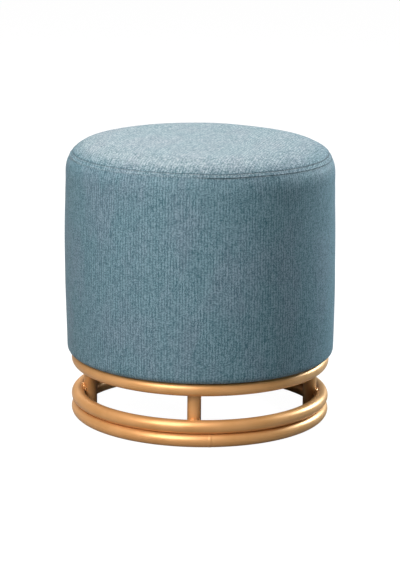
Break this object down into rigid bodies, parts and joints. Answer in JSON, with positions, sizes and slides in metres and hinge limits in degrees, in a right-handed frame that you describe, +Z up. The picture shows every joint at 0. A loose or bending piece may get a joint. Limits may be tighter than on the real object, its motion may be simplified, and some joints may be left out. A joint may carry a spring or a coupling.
{
  "type": "vanity stool",
  "caption": "Round upholstered stool: a fabric drum seat with a topstitched crowned top on a welded base of tube rings and short posts.",
  "frame": {"origin": "middle of the footprint on the floor, under the floor ring", "axes": "+Z up along the drum's axis; the front is -Y, with one post on each of the X and Y axes; +X is to the right of someone facing the front"},
  "size_m": [0.4014, 0.4014, 0.415],
  "materials": {
    "gold_metal": "satin",
    "zinc_steel": "satin",
    "plywood": "matte",
    "softwood": "matte",
    "foam": "matte",
    "seat_fabric": "matte",
    "black_nonwoven": "matte"
  },
  "bodies": {
    "root": {"floor_ring": "gold_metal", "middle_ring": "gold_metal", "upper_ring": "gold_metal", "weld_beads_floor": "gold_metal", "weld_beads_middle": "gold_metal", "weld_beads_upper": "gold_metal", "post_end_caps": "gold_metal", "tab_welds": "gold_metal", "post_front": "gold_metal", "post_left": "gold_metal", "post_back": "gold_metal", "post_right": "gold_metal", "seat_tab_front": "gold_metal", "seat_tab_left": "gold_metal", "seat_tab_back": "gold_metal", "seat_tab_right": "gold_metal", "seat_bolts": "zinc_steel", "seat_washers": "zinc_steel", "t_nuts": "zinc_steel", "strut_screws": "zinc_steel", "base_board": "plywood", "top_board": "plywood", "wall_shell": "plywood", "strut_front": "softwood", "strut_left": "softwood", "strut_back": "softwood", "strut_right": "softwood", "seat_foam": "foam", "side_foam": "foam", "cover_side": "seat_fabric", "cover_top": "seat_fabric", "dust_cover": "black_nonwoven"}
  },
  "joints": []
}
